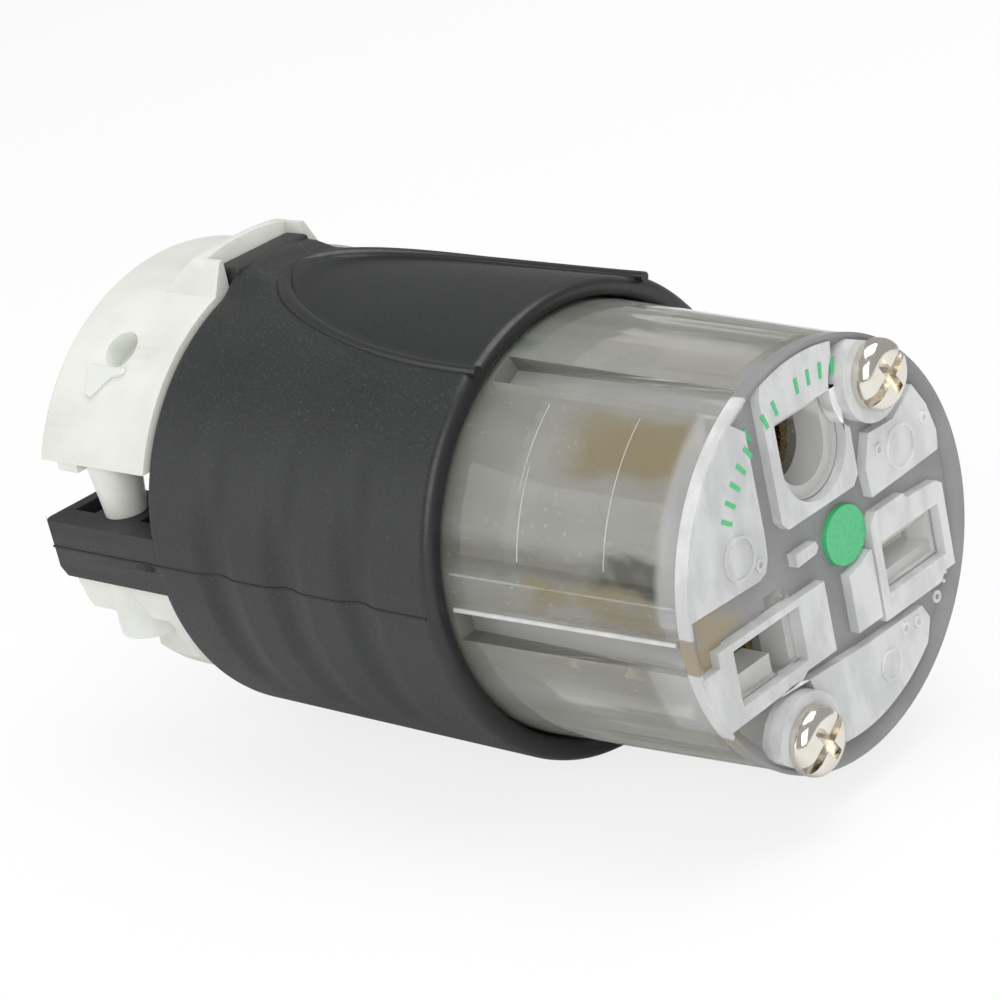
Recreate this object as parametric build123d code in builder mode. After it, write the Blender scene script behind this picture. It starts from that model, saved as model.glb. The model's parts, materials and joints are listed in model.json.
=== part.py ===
from build123d import *
from math import cos, radians, sin
import os

# Clear-fronted cord connector for 20 A and 250 V, in millimetres.
# +X leaves the mating face, +Z is up, and the origin is the middle of the face's raised pads.
# The barrel lies on its side. The front body is clear, the shell black and the cord clamp white.

os.makedirs("parts", exist_ok=True)

# Mating face pattern
blade_w = 6.35
blade_t = 1.52
pin_r = 2.38
ground_z = 8.3
slot_to_ground = 11.9
straight_slot_y = 9.1
tee_bar_y = 6.35
slot_clear = 0.5
ground_hole_clear = 0.32
lead_in = 1.3
lead_in_margin = 1.2

# Front body
body_rim_r = 17.0
body_taper = 0.9
body_wall = 1.9
plate_t = 3.0
pad_h = 0.8
pad_rim = 1.4
face_edge = 0.5
body_depth = 31.0
taper_depth = 23.0
side_band_y = 5.55
side_band_w = 2.1
side_band_top = 8.0
cross_band_z = 2.7
cross_band_w = 2.2
centre_band_y = -0.4
centre_band_w = 2.1
lower_band_z = -7.85
lower_band_w = 1.3
left_band_z = 0.1
left_band_w = 2.9
spur_start = 10.0
spur_z = 0.4
spur_w = 2.4
finger_y = -2.8
finger_z = 1.3
finger_len = 2.4
finger_w = 0.9
web_inset = 0.4
web_gap = 0.4
groove_w = 2.5
groove_deep = 1.6
groove_angles = (24.5, 94.0)
dot_r = 2.25
dot_y = 1.5
dot_z = 0.9
dot_depth = 0.9
dot_proud = 0.15

# Face screws
screw_inset = 2.7
screw_angle = 31.0
screw_r = 1.7
screw_clear = 0.25
screw_head_r = 2.7
screw_head_h = 1.5
head_round = 1.1
collar_r = 3.6
collar_h = 0.9
cross_len = 3.4
screw_recess_r = 4.1
screw_boss_r = 3.0
screw_reach = 7.5
shell_boss_r = 3.3
shell_boss_len = 9.0
insert_r = 2.5
insert_len = 7.0
drive_w = 0.85
drive_deep = 0.9

# Contact carrier
fit_gap = 0.3
seat_gap = 0.02
carrier_front = 16.2
carrier_disc_t = 2.8
carrier_neck = 2.9
flange_t = 3.0
tower_gap = 0.4
tower_half_z = 4.3
tower_inner_y = 4.0
tower_wall = 0.8
ground_tower_r = 4.4
hub_half_y = 7.2
hub_top = 6.8
hub_bottom = 7.3
hub_len = 12.5

# Contacts and terminals
brass_t = 0.8
leaf_gap = 1.3
contact_start = 1.2
contact_gap = 0.15
sleeve_slit = 0.8
tail_w = 4.0
terminal_len = 9.0
terminal_w = 6.0
terminal_start = 1.6
wire_gap = 2.0
clamp_plate_t = 1.0
clamp_plate_len = 7.0
clamp_plate_w = 5.6
terminal_screw_r = 1.5
terminal_head_r = 2.6
terminal_head_h = 1.8
terminal_tip = 1.8
thread_gap = 0.05

# Shell
shell_lip = 1.85
shell_bore_gap = 0.25
shell_front = 22.7
shell_rear = 54.6
shell_rear_wall = 2.2
shell_wall = 2.9
mouth_chamfer = 0.6
rim_round = 0.9
rear_round = 0.8
cord_hole_rim = 2.0
wing_len = 13.4
wing_t = 5.0
wing_w = 7.6
wing_round = 1.0
pocket_deep = 3.0
pocket_wall = 1.3
rear_pocket_len = 2.6
front_pocket_len = 3.0
grip_first = 31.0
grip_pitch = 8.0
grip_count = 3
grip_depth = 0.5
grip_shift = 2.1
grip_cutter_r = 6.0
panel_half_w = 9.7
panel_start = 24.0
panel_back = 51.0
panel_depth = 0.35
key_half_w = 4.2
key_len = 9.0
key_rise = 1.2
key_back = 1.8

# Cord clamp
cord_r = 7.0
jaw_step = 0.2
jaw_overhang = 0.2
jaw_seat = 0.1
jaw_edge_z = 7.5
jaw_wall = 2.4
jaw_core_wall = 3.2
jaw_core_z = 3.6
jaw_round = 0.8
jaw_pocket_deep = 8.0
jaw_pocket_inset = 8.3
clamp_screw_back = 0.1
clamp_inset = 3.8
clamp_screw_r = 1.3
clamp_head_r = 2.3
clamp_head_h = 1.6
clamp_screw_clear = 0.3
clamp_screw_grip = 5.4
post_r = 2.3
post_taper = 6.0
relief_r = 1.7
relief_angle = 37.0
relief_deep = 2.0
wedge_base_half = 7.0
wedge_top_half = 4.6
wedge_low = 2.8
wedge_rise = 2.1
wedge_flat = 2.8
wedge_len = 8.6
tab_back = 3.2
tab_len = 2.5
tab_h = 0.9
tab_w = 1.4
tab_angle = 65.0
lower_jaw_inset = 1.0
lower_body_inset = 0.7
lower_jaw_back = 1.2
lower_body_back = 4.4
lower_lip = 3.6
lower_bottom_inset = 3.0
lower_screw_seat = 5.4
head_wall = 0.7

# Places that follow from the sizes above
slot_z = ground_z - slot_to_ground
body_face_r = body_rim_r - body_taper
pad_r = body_face_r - pad_rim
groove_floor_r = body_rim_r - groove_deep
screw_ring_r = body_face_r - screw_inset
plate_back = pad_h + plate_t
shoulder = body_depth + flange_t
bore_r = body_rim_r + shell_bore_gap
shell_r = bore_r + shell_lip
cavity_r = shell_r - shell_wall
cord_hole_r = cord_r + cord_hole_rim
key_top = shell_r + key_rise
cavity_back = shell_rear - shell_rear_wall
inner_r = body_face_r - body_wall
carrier_r = inner_r - fit_gap
carrier_core_r = carrier_r - carrier_neck
tower_front = plate_back + tower_gap
disc_back = carrier_front + carrier_disc_t
contact_front = plate_back + contact_start
contact_back = disc_back - brass_t
leaf_len = contact_back - contact_front
terminal_front = shoulder + terminal_start
terminal_x = terminal_front + terminal_len / 2
screw_y = screw_ring_r * sin(radians(screw_angle))
screw_z = screw_ring_r * cos(radians(screw_angle))
screw_points = [(screw_y, screw_z), (-screw_y, -screw_z)]
wing_end = shell_rear + wing_len
jaw_r = shell_r + jaw_step
jaw_end = wing_end + jaw_overhang
lower_jaw_end = wing_end - lower_jaw_back
lower_body_end = wing_end - lower_body_back
clamp_screw_x = shell_rear + wing_len / 2 + clamp_screw_back
tab_x = wing_end - tab_back
lower_jaw_r = jaw_r - lower_jaw_inset
lower_body_r = lower_jaw_r - lower_body_inset
lower_bottom = lower_body_r - lower_bottom_inset
clamp_screw_y = shell_r - clamp_inset
jaw_core_half = cord_r + jaw_core_wall
jaw_pocket_half = jaw_r - jaw_pocket_inset
wedge_top = jaw_r + wedge_rise
wedge_foot = jaw_r - wedge_low
wing_top = wing_t / 2
wing_inner = shell_r - wing_w
jaw_front = shell_rear + jaw_seat
key_end = shell_rear + key_back
jaw_core_top = jaw_edge_z + cord_r
tab_y = jaw_r * sin(radians(tab_angle)) - tab_w / 2
clamp_points = [(-clamp_screw_x, -clamp_screw_y), (-clamp_screw_x, clamp_screw_y)]


def face_plane(x):
    """Plane square to the barrel at x, with sketch X along +Y and sketch Y along +Z, facing +X."""
    return Plane(origin=(x, 0, 0), x_dir=(0, 1, 0), z_dir=(1, 0, 0))


# Mating face: channels between the raised pads, drawn flat, with webs of the same plan behind the plate
with BuildSketch() as bands:
    with Locations((-side_band_y, (cross_band_z + pad_r) / 2)):
        Rectangle(side_band_w, pad_r - cross_band_z)
    with Locations((side_band_y, (cross_band_z + side_band_top) / 2)):
        Rectangle(side_band_w, side_band_top - cross_band_z)
    with Locations((0, cross_band_z)):
        Rectangle(2 * side_band_y + side_band_w, cross_band_w)
    with Locations((centre_band_y, (cross_band_z + lower_band_z) / 2)):
        Rectangle(centre_band_w, cross_band_z - lower_band_z)

with BuildSketch(face_plane(-pad_h)) as pads:
    Circle(body_face_r)
    with Locations((body_face_r - side_band_y, 0)):
        Rectangle(2 * body_face_r, 2 * body_face_r, mode=Mode.SUBTRACT)
    Circle(pad_r)
    add(bands.sketch, mode=Mode.SUBTRACT)
    with Locations((0, lower_band_z)):
        Rectangle(2 * body_face_r, lower_band_w, mode=Mode.SUBTRACT)
    with Locations(((centre_band_y - body_face_r) / 2, left_band_z)):
        Rectangle(body_face_r + centre_band_y, left_band_w, mode=Mode.SUBTRACT)
    with Locations(((spur_start + body_face_r) / 2, spur_z)):
        Rectangle(body_face_r - spur_start, spur_w, mode=Mode.SUBTRACT)
    with Locations((finger_y, finger_z)):
        RectangleRounded(finger_len, finger_w, finger_w / 3)
    with Locations(*screw_points):
        Circle(screw_recess_r, mode=Mode.SUBTRACT)
    with Locations((dot_y, dot_z)):
        Circle(dot_r + face_edge)

with BuildSketch(face_plane(-plate_back)) as webs:
    add(bands.sketch)
    offset(amount=-web_inset)
    Circle(inner_r + face_edge, mode=Mode.INTERSECT)

# Openings of the pattern, shared by the plate and its lead-ins
with BuildSketch(face_plane(0)) as slots:
    with Locations((straight_slot_y, slot_z), (-straight_slot_y, slot_z)):
        Rectangle(blade_w + slot_clear, blade_t + slot_clear)
    with Locations((-tee_bar_y, slot_z)):
        Rectangle(blade_t + slot_clear, blade_w + slot_clear)
    with Locations((0, ground_z)):
        Circle(pin_r + ground_hole_clear)
    with Locations((0, ground_z + (pin_r + ground_hole_clear) / 2)):
        Rectangle(2 * (pin_r + ground_hole_clear), pin_r + ground_hole_clear)

with BuildSketch(face_plane(0)) as lead_ins:
    with Locations((straight_slot_y, slot_z)):
        Rectangle(blade_w + slot_clear, blade_t + 2 * lead_in_margin)
    with Locations((-straight_slot_y + slot_clear, slot_z)):
        Rectangle(blade_w + 3 * slot_clear, blade_w - lead_in_margin)
    with Locations((0, ground_z)):
        Circle(pin_r + lead_in_margin)
    with Locations((0, ground_z + (pin_r + lead_in_margin) / 2)):
        Rectangle(2 * (pin_r + lead_in_margin), pin_r + lead_in_margin)

# Clear front body: a tapered cup with the slotted plate at its front
with BuildPart() as front_body:
    with BuildSketch(Plane.XZ):
        with BuildLine():
            Polyline(
                (-plate_back, 0), (-pad_h, 0), (-pad_h, body_face_r - face_edge),
                (-pad_h - face_edge, body_face_r), (-taper_depth, body_rim_r),
                (-body_depth, body_rim_r), (-body_depth, inner_r), (-plate_back, inner_r),
                close=True,
            )
        make_face()
    revolve(axis=Axis.X)
    extrude(pads.sketch, amount=pad_h)
    with BuildSketch(face_plane(-pad_h)):
        with Locations(*screw_points):
            Circle(collar_r)
        Circle(body_face_r, mode=Mode.INTERSECT)
    extrude(amount=pad_h + collar_h)
    with BuildSketch(face_plane(-plate_back)):
        with Locations(*screw_points):
            Circle(screw_boss_r)
        Circle(inner_r + body_wall / 2, mode=Mode.INTERSECT)
    extrude(amount=-(carrier_front - seat_gap - plate_back))
    extrude(webs.sketch, amount=-(carrier_front - web_gap - plate_back))
    extrude(lead_ins.sketch, amount=-lead_in, mode=Mode.SUBTRACT)
    extrude(slots.sketch, amount=-plate_back, mode=Mode.SUBTRACT)
    with BuildSketch(face_plane(collar_h)):
        with Locations(*screw_points):
            Circle(screw_r + screw_clear)
    extrude(amount=-body_depth - collar_h, mode=Mode.SUBTRACT)
    with BuildSketch(face_plane(0)):
        with Locations((dot_y, dot_z)):
            Circle(dot_r)
    extrude(amount=-dot_depth, mode=Mode.SUBTRACT)
    with BuildSketch(face_plane(0)):
        for angle in groove_angles:
            across = body_rim_r * sin(radians(angle))
            along = body_rim_r * cos(radians(angle))
            with Locations((-across, along), (across, -along)):
                Rectangle(groove_w, 2 * (body_rim_r - groove_floor_r), rotation=angle)
    extrude(amount=-shell_front, mode=Mode.SUBTRACT)
front_body.part.label = "front_body"
export_step(front_body.part, "parts/front_body.step")

with BuildPart() as green_dot:
    with BuildSketch(face_plane(dot_proud)):
        with Locations((dot_y, dot_z)):
            Circle(dot_r)
    extrude(amount=-dot_depth - dot_proud)
green_dot.part.label = "green_dot"
export_step(green_dot.part, "parts/green_dot.step")

# Contact carrier: towers behind the slots, a disc, a core, a clamped flange and the terminal hub
with BuildPart() as contact_carrier:
    with BuildSketch(Plane.XZ):
        with BuildLine():
            Polyline(
                (-carrier_front, 0), (-carrier_front, carrier_r), (-disc_back, carrier_r),
                (-disc_back, carrier_core_r), (-body_depth, carrier_core_r),
                (-body_depth, body_rim_r), (-shoulder, body_rim_r), (-shoulder, 0),
                close=True,
            )
        make_face()
    revolve(axis=Axis.X)
    with BuildSketch(face_plane(-tower_front)):
        for side in (1, -1):
            with Locations((side * (tower_inner_y + carrier_r) / 2, slot_z)):
                Rectangle(carrier_r - tower_inner_y, 2 * tower_half_z)
        Circle(carrier_r, mode=Mode.INTERSECT)
        with Locations((0, ground_z)):
            Circle(ground_tower_r)
    extrude(amount=-(carrier_front - tower_front))
    with BuildSketch(face_plane(-shoulder)):
        with Locations((0, (hub_top - hub_bottom) / 2)):
            Rectangle(2 * hub_half_y, hub_top + hub_bottom)
    extrude(amount=-hub_len)
    with BuildSketch(face_plane(-tower_front)):
        for side in (1, -1):
            with Locations((side * (tower_inner_y + tower_wall + carrier_r) / 2, slot_z)):
                Rectangle(carrier_r - tower_inner_y - tower_wall + fit_gap, 2 * (tower_half_z - tower_wall))
        with Locations((0, ground_z)):
            Circle(ground_tower_r - tower_wall)
    extrude(amount=-(disc_back - tower_front), mode=Mode.SUBTRACT)
    with BuildSketch(face_plane(-carrier_front)):
        with Locations(*screw_points):
            Circle(screw_r + screw_clear)
    extrude(amount=-(shoulder - carrier_front), mode=Mode.SUBTRACT)
    with BuildSketch(face_plane(-disc_back)):
        for side in (1, -1):
            with Locations((side * (hub_half_y + brass_t / 2), slot_z)):
                Rectangle(brass_t + 2 * contact_gap, tail_w + 2 * contact_gap)
        with Locations((0, hub_top + brass_t / 2)):
            Rectangle(tail_w + 2 * contact_gap, brass_t + 2 * contact_gap)
    extrude(amount=-(shoulder - disc_back), mode=Mode.SUBTRACT)
    with BuildSketch(Plane.XZ.offset(-hub_half_y)):
        with Locations((-terminal_x, slot_z)):
            Circle(terminal_screw_r + screw_clear)
    extrude(amount=terminal_tip + seat_gap, mode=Mode.SUBTRACT)
    with BuildSketch(Plane.XZ.offset(hub_half_y)):
        with Locations((-terminal_x, slot_z)):
            Circle(terminal_screw_r + screw_clear)
    extrude(amount=-terminal_tip - seat_gap, mode=Mode.SUBTRACT)
    with BuildSketch(Plane.XY.offset(hub_top)):
        with Locations((-terminal_x, 0)):
            Circle(terminal_screw_r + screw_clear)
    extrude(amount=-terminal_tip - seat_gap, mode=Mode.SUBTRACT)
contact_carrier.part.label = "contact_carrier"
export_step(contact_carrier.part, "parts/contact_carrier.step")


def terminal_outline(base):
    """Tail and tapped terminal plate as one flat outline on the plane of the inner face, x along -X."""
    with BuildSketch(base) as outline:
        with Locations(((contact_back + shoulder + terminal_start) / 2, 0)):
            Rectangle(shoulder + terminal_start - contact_back, tail_w)
        with Locations((terminal_x, 0)):
            Rectangle(terminal_len, terminal_w)
        with Locations((terminal_x, 0)):
            Circle(terminal_screw_r + thread_gap, mode=Mode.SUBTRACT)
    return outline.sketch


# Ground contact: a slit sleeve round the pin
with BuildPart() as ground_contact:
    with BuildSketch(face_plane(-contact_front)):
        with Locations((0, ground_z)):
            Circle(pin_r + brass_t)
            Circle(pin_r, mode=Mode.SUBTRACT)
        with Locations((0, ground_z - pin_r)):
            Rectangle(sleeve_slit, 2 * brass_t + pin_r / 2, mode=Mode.SUBTRACT)
    extrude(amount=-leaf_len)
    with BuildSketch(face_plane(-contact_back)):
        with Locations((0, ground_z)):
            Circle(pin_r + brass_t)
    extrude(amount=-brass_t + seat_gap)
    top_seat = Plane(origin=(0, 0, hub_top), x_dir=(-1, 0, 0), z_dir=(0, 0, 1))
    extrude(terminal_outline(top_seat), amount=brass_t)
ground_contact.part.label = "ground_contact"
export_step(ground_contact.part, "parts/ground_contact.step")

# Straight slot contact: two leaves above and below the blade
with BuildPart() as straight_slot_contact:
    with BuildSketch(face_plane(-contact_front)):
        for side in (1, -1):
            with Locations((straight_slot_y, slot_z + side * (leaf_gap + brass_t) / 2)):
                Rectangle(blade_w, brass_t)
        Circle(carrier_r - contact_gap, mode=Mode.INTERSECT)
    extrude(amount=-leaf_len)
    with BuildSketch(face_plane(-contact_back)):
        with Locations((straight_slot_y, slot_z)):
            Rectangle(blade_w, leaf_gap + 2 * brass_t)
        Circle(carrier_r - contact_gap, mode=Mode.INTERSECT)
    extrude(amount=-brass_t + seat_gap)
    right_seat = Plane(origin=(0, hub_half_y, slot_z), x_dir=(-1, 0, 0), z_dir=(0, 1, 0))
    extrude(terminal_outline(right_seat), amount=brass_t)
straight_slot_contact.part.label = "straight_slot_contact"
export_step(straight_slot_contact.part, "parts/straight_slot_contact.step")

# Tee slot contact: leaves for a flat blade and for an upright one
tee_leaf_y = tee_bar_y + leaf_gap / 2
tee_inner_y = tee_bar_y - leaf_gap / 2 - brass_t
tee_outer_y = straight_slot_y + blade_w / 2
with BuildPart() as tee_slot_contact:
    with BuildSketch(face_plane(-contact_front)):
        for side in (1, -1):
            leaf_z = slot_z + side * (leaf_gap + brass_t) / 2
            with Locations((-(tee_leaf_y + tee_outer_y) / 2, leaf_z)):
                Rectangle(tee_outer_y - tee_leaf_y, brass_t)
            with Locations((-tee_leaf_y - brass_t / 2, slot_z + side * (leaf_gap + blade_w) / 4)):
                Rectangle(brass_t, (blade_w - leaf_gap) / 2)
        with Locations((-tee_inner_y - brass_t / 2, slot_z)):
            Rectangle(brass_t, blade_w)
        Circle(carrier_r - contact_gap, mode=Mode.INTERSECT)
    extrude(amount=-leaf_len)
    with BuildSketch(face_plane(-contact_back)):
        with Locations((-(tee_inner_y + tee_outer_y) / 2, slot_z)):
            Rectangle(tee_outer_y - tee_inner_y, leaf_gap + 2 * brass_t)
        with Locations((-tee_bar_y, slot_z)):
            Rectangle(leaf_gap + 2 * brass_t, blade_w)
        Circle(carrier_r - contact_gap, mode=Mode.INTERSECT)
    extrude(amount=-brass_t + seat_gap)
    left_seat = Plane(origin=(0, -hub_half_y, slot_z), x_dir=(-1, 0, 0), z_dir=(0, -1, 0))
    extrude(terminal_outline(left_seat), amount=brass_t)
tee_slot_contact.part.label = "tee_slot_contact"
export_step(tee_slot_contact.part, "parts/tee_slot_contact.step")

# Terminal clamp plates and screws, one set on each terminal
terminals = {"ground": top_seat, "straight_slot": right_seat, "tee_slot": left_seat}
for terminal_name, tail_seat in terminals.items():
    seat = tail_seat.offset(brass_t)
    with BuildPart() as clamp_plate:
        with BuildSketch(seat.offset(wire_gap)):
            with Locations((terminal_x, 0)):
                RectangleRounded(clamp_plate_len, clamp_plate_w, face_edge)
                Circle(terminal_screw_r + screw_clear, mode=Mode.SUBTRACT)
        extrude(amount=clamp_plate_t)
    clamp_plate.part.label = terminal_name + "_clamp_plate"
    export_step(clamp_plate.part, "parts/" + clamp_plate.part.label + ".step")

    with BuildPart() as terminal_screw:
        with BuildSketch(seat.offset(wire_gap + clamp_plate_t)):
            with Locations((terminal_x, 0)):
                Circle(terminal_head_r)
        extrude(amount=terminal_head_h)
        with BuildSketch(seat.offset(wire_gap + clamp_plate_t)):
            with Locations((terminal_x, 0)):
                Circle(terminal_screw_r)
        extrude(amount=-(wire_gap + clamp_plate_t + brass_t + terminal_tip - seat_gap))
        with BuildSketch(seat.offset(wire_gap + clamp_plate_t + terminal_head_h)):
            with Locations((terminal_x, 0)):
                Rectangle(2 * terminal_head_r, drive_w)
        extrude(amount=-drive_deep, mode=Mode.SUBTRACT)
    terminal_screw.part.label = terminal_name + "_terminal_screw"
    export_step(terminal_screw.part, "parts/" + terminal_screw.part.label + ".step")

# Long face screws and the threaded inserts that they pull on
with BuildPart() as face_screws:
    with BuildSketch(face_plane(collar_h + seat_gap)):
        with Locations(*screw_points):
            Circle(screw_head_r)
    extrude(amount=screw_head_h)
    fillet(face_screws.faces().sort_by(Axis.X)[-2:].edges(), head_round)
    with BuildSketch(face_plane(collar_h + seat_gap)):
        with Locations(*screw_points):
            Circle(screw_r)
    extrude(amount=-(shoulder + screw_reach + collar_h))
    with BuildSketch(face_plane(collar_h + seat_gap + screw_head_h)):
        with Locations(*screw_points):
            Rectangle(2 * screw_head_r, drive_w, rotation=screw_angle)
            Rectangle(drive_w, cross_len, rotation=screw_angle)
    extrude(amount=-drive_deep, mode=Mode.SUBTRACT)
face_screws.part.label = "face_screws"
export_step(face_screws.part, "parts/face_screws.step")

with BuildPart() as threaded_inserts:
    with BuildSketch(face_plane(-shoulder - seat_gap)):
        with Locations(*screw_points):
            Circle(insert_r)
            Circle(screw_r + thread_gap, mode=Mode.SUBTRACT)
    extrude(amount=-insert_len)
threaded_inserts.part.label = "threaded_inserts"
export_step(threaded_inserts.part, "parts/threaded_inserts.step")

# Black shell: round barrel, rear wall with the cord hole, two wings that carry the clamp
with BuildPart() as shell:
    with BuildSketch(Plane.XZ):
        with BuildLine():
            Polyline(
                (-shell_front, bore_r), (-shell_front, shell_r), (-shell_rear, shell_r),
                (-shell_rear, cord_hole_r), (-cavity_back, cord_hole_r), (-cavity_back, cavity_r),
                (-shoulder, cavity_r), (-shoulder, bore_r),
                close=True,
            )
        make_face()
    revolve(axis=Axis.X)
    rim = shell.edges().filter_by(GeomType.CIRCLE).group_by(Axis.X)[-1].sort_by(SortBy.RADIUS)
    chamfer(rim[0], mouth_chamfer)
    rim = shell.edges().filter_by(GeomType.CIRCLE).group_by(Axis.X)[-1].sort_by(SortBy.RADIUS)
    fillet(rim[-1], rim_round)
    rear = shell.edges().filter_by(GeomType.CIRCLE).group_by(Axis.X)[0].sort_by(SortBy.RADIUS)
    fillet(rear[-1], rear_round)
    with BuildSketch(face_plane(-shoulder)):
        with Locations(*screw_points):
            Circle(shell_boss_r)
    extrude(amount=-shell_boss_len)
    with BuildSketch(face_plane(-shoulder)):
        with Locations(*screw_points):
            Circle(insert_r)
    extrude(amount=-insert_len - 2 * seat_gap, mode=Mode.SUBTRACT)
    with BuildSketch(face_plane(-shoulder)):
        with Locations(*screw_points):
            Circle(screw_r + screw_clear)
    extrude(amount=-screw_reach - screw_clear, mode=Mode.SUBTRACT)
    with BuildSketch(Plane.XY.offset(-wing_top)):
        for side in (1, -1):
            with Locations((-(wing_end + cavity_back) / 2, side * (wing_inner + shell_r) / 2)):
                Rectangle(wing_end - cavity_back, wing_w)
    extrude(amount=wing_t)
    ends = shell.edges().filter_by(Axis.Z).group_by(Axis.X)[0]
    fillet(ends, wing_round)
    with BuildSketch(face_plane(0)):
        Circle(2 * shell_r)
        Circle(shell_r, mode=Mode.SUBTRACT)
    extrude(amount=-wing_end, mode=Mode.SUBTRACT)
    with BuildSketch(Plane.XZ.offset(-key_half_w)):
        with BuildLine():
            Polyline(
                (-key_end, cavity_r + rim_round), (-key_end, key_top),
                (-shell_rear + key_len / 3, key_top), (-shell_rear + key_len, shell_r),
                (-shell_rear + key_len, cavity_r + rim_round),
                close=True,
            )
        make_face()
    extrude(amount=2 * key_half_w)
    with BuildSketch(Plane.XY.offset(wing_top)):
        for side in (1, -1):
            for start, length in (
                (wing_end - pocket_wall, rear_pocket_len),
                (shell_rear + front_pocket_len + rear_round, front_pocket_len),
            ):
                with Locations((-start + length / 2, side * (wing_inner + shell_r - pocket_wall) / 2)):
                    Rectangle(length, wing_w - 3 * pocket_wall)
    extrude(amount=-pocket_deep, mode=Mode.SUBTRACT)
    with BuildSketch(Plane.XY.offset(-wing_top)):
        with Locations(*clamp_points):
            Circle(clamp_screw_r + clamp_screw_clear)
    extrude(amount=wing_t, mode=Mode.SUBTRACT)
    for side in (1, -1):
        grip_axis = Axis((0, -side * grip_shift, 0), (1, 0, 0))
        for row in range(grip_count):
            with BuildSketch(Plane.XY):
                with Locations((-(grip_first + row * grip_pitch), side * (shell_r - grip_depth + grip_cutter_r))):
                    Circle(grip_cutter_r)
            revolve(axis=grip_axis, mode=Mode.SUBTRACT)
    with BuildSketch(Plane.XY) as panel:
        with Locations((-panel_start, 0)):
            Ellipse(panel_back - panel_start, panel_half_w)
    with BuildSketch(face_plane(0)):
        Circle(2 * shell_r)
        Circle(shell_r - panel_depth, mode=Mode.SUBTRACT)
    panel_ring = extrude(amount=-shell_rear, mode=Mode.PRIVATE)
    panel_prism = extrude(panel.sketch, amount=2 * shell_r, mode=Mode.PRIVATE)
    add(panel_ring & panel_prism, mode=Mode.SUBTRACT)
shell.part.label = "shell"
export_step(shell.part, "parts/shell.step")

# Upper clamp jaw: half round cap, saddle for the cord, posts that stand on the wings
with BuildPart() as upper_jaw:
    with BuildSketch(face_plane(-jaw_front)):
        Circle(jaw_r)
        with Locations((0, jaw_edge_z - jaw_r)):
            Rectangle(2 * jaw_r, 2 * jaw_r, mode=Mode.SUBTRACT)
        with Locations((0, (jaw_core_z + jaw_core_top) / 2)):
            Rectangle(2 * jaw_core_half, jaw_core_top - jaw_core_z)
        Circle(cord_r, mode=Mode.SUBTRACT)
    extrude(amount=-(jaw_end - jaw_front))
    back = upper_jaw.edges().filter_by(GeomType.CIRCLE).group_by(Axis.X)[0].sort_by(SortBy.RADIUS)
    fillet(back[-1], jaw_round)
    with BuildSketch(Plane.XZ.offset(-wedge_base_half)):
        with BuildLine():
            Polyline(
                (-jaw_front, jaw_core_top), (-jaw_front, wedge_top), (-jaw_front - wedge_flat, wedge_top),
                (-jaw_front - wedge_len, wedge_foot), (-jaw_front - wedge_len, jaw_core_top),
                close=True,
            )
        make_face()
    wedge_side = extrude(amount=2 * wedge_base_half, mode=Mode.PRIVATE)
    with BuildSketch(face_plane(-jaw_front)):
        with BuildLine():
            Polyline(
                (-wedge_base_half, jaw_core_top), (-wedge_base_half, wedge_foot),
                (-wedge_top_half, wedge_top), (wedge_top_half, wedge_top),
                (wedge_base_half, wedge_foot), (wedge_base_half, jaw_core_top),
                close=True,
            )
        make_face()
        Circle(wedge_top, mode=Mode.INTERSECT)
    wedge_front = extrude(amount=-wedge_len, mode=Mode.PRIVATE)
    add(wedge_side & wedge_front)
    with BuildSketch(face_plane(-jaw_front)):
        with Locations((0, (cavity_r + rim_round - screw_clear + wedge_top) / 2)):
            Rectangle(2 * (key_half_w + screw_clear), wedge_top - cavity_r - rim_round + screw_clear)
    extrude(amount=-(key_end + screw_clear - jaw_front), mode=Mode.SUBTRACT)
    with BuildSketch(Plane.XY.offset(jaw_edge_z)):
        with Locations(*clamp_points):
            Circle(post_r)
    extrude(amount=-(jaw_edge_z - wing_top - seat_gap), taper=post_taper)
    with BuildSketch(Plane.XY.offset(jaw_edge_z)):
        for side in (1, -1):
            with Locations((-tab_x, side * tab_y)):
                Rectangle(tab_len, tab_w)
    extrude(amount=-tab_h)
    with BuildSketch(Plane.XY.offset(wing_top)):
        with Locations(*clamp_points):
            Circle(clamp_screw_r + thread_gap)
    extrude(amount=clamp_screw_grip, mode=Mode.SUBTRACT)
    with BuildSketch(face_plane(-jaw_end)):
        Circle(jaw_r - jaw_wall)
        Circle(cord_r + jaw_wall, mode=Mode.SUBTRACT)
        with Locations((0, jaw_edge_z + jaw_wall - jaw_r)):
            Rectangle(2 * jaw_r, 2 * jaw_r, mode=Mode.SUBTRACT)
        Rectangle(jaw_wall, 2 * jaw_r, mode=Mode.SUBTRACT)
        for side in (1, -1):
            with Locations((side * (jaw_pocket_half + jaw_r / 2), 0)):
                Rectangle(jaw_r, 2 * jaw_r, mode=Mode.SUBTRACT)
    extrude(amount=jaw_pocket_deep, mode=Mode.SUBTRACT)
    for side in (1, -1):
        across = side * sin(radians(relief_angle))
        up = cos(radians(relief_angle))
        relief = Plane(
            origin=(-clamp_screw_x, jaw_r * across, jaw_r * up), x_dir=(1, 0, 0), z_dir=(0, across, up)
        )
        with BuildSketch(relief):
            Circle(relief_r)
        extrude(amount=-relief_deep, mode=Mode.SUBTRACT)
upper_jaw.part.label = "upper_jaw"
export_step(upper_jaw.part, "parts/upper_jaw.step")

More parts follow.
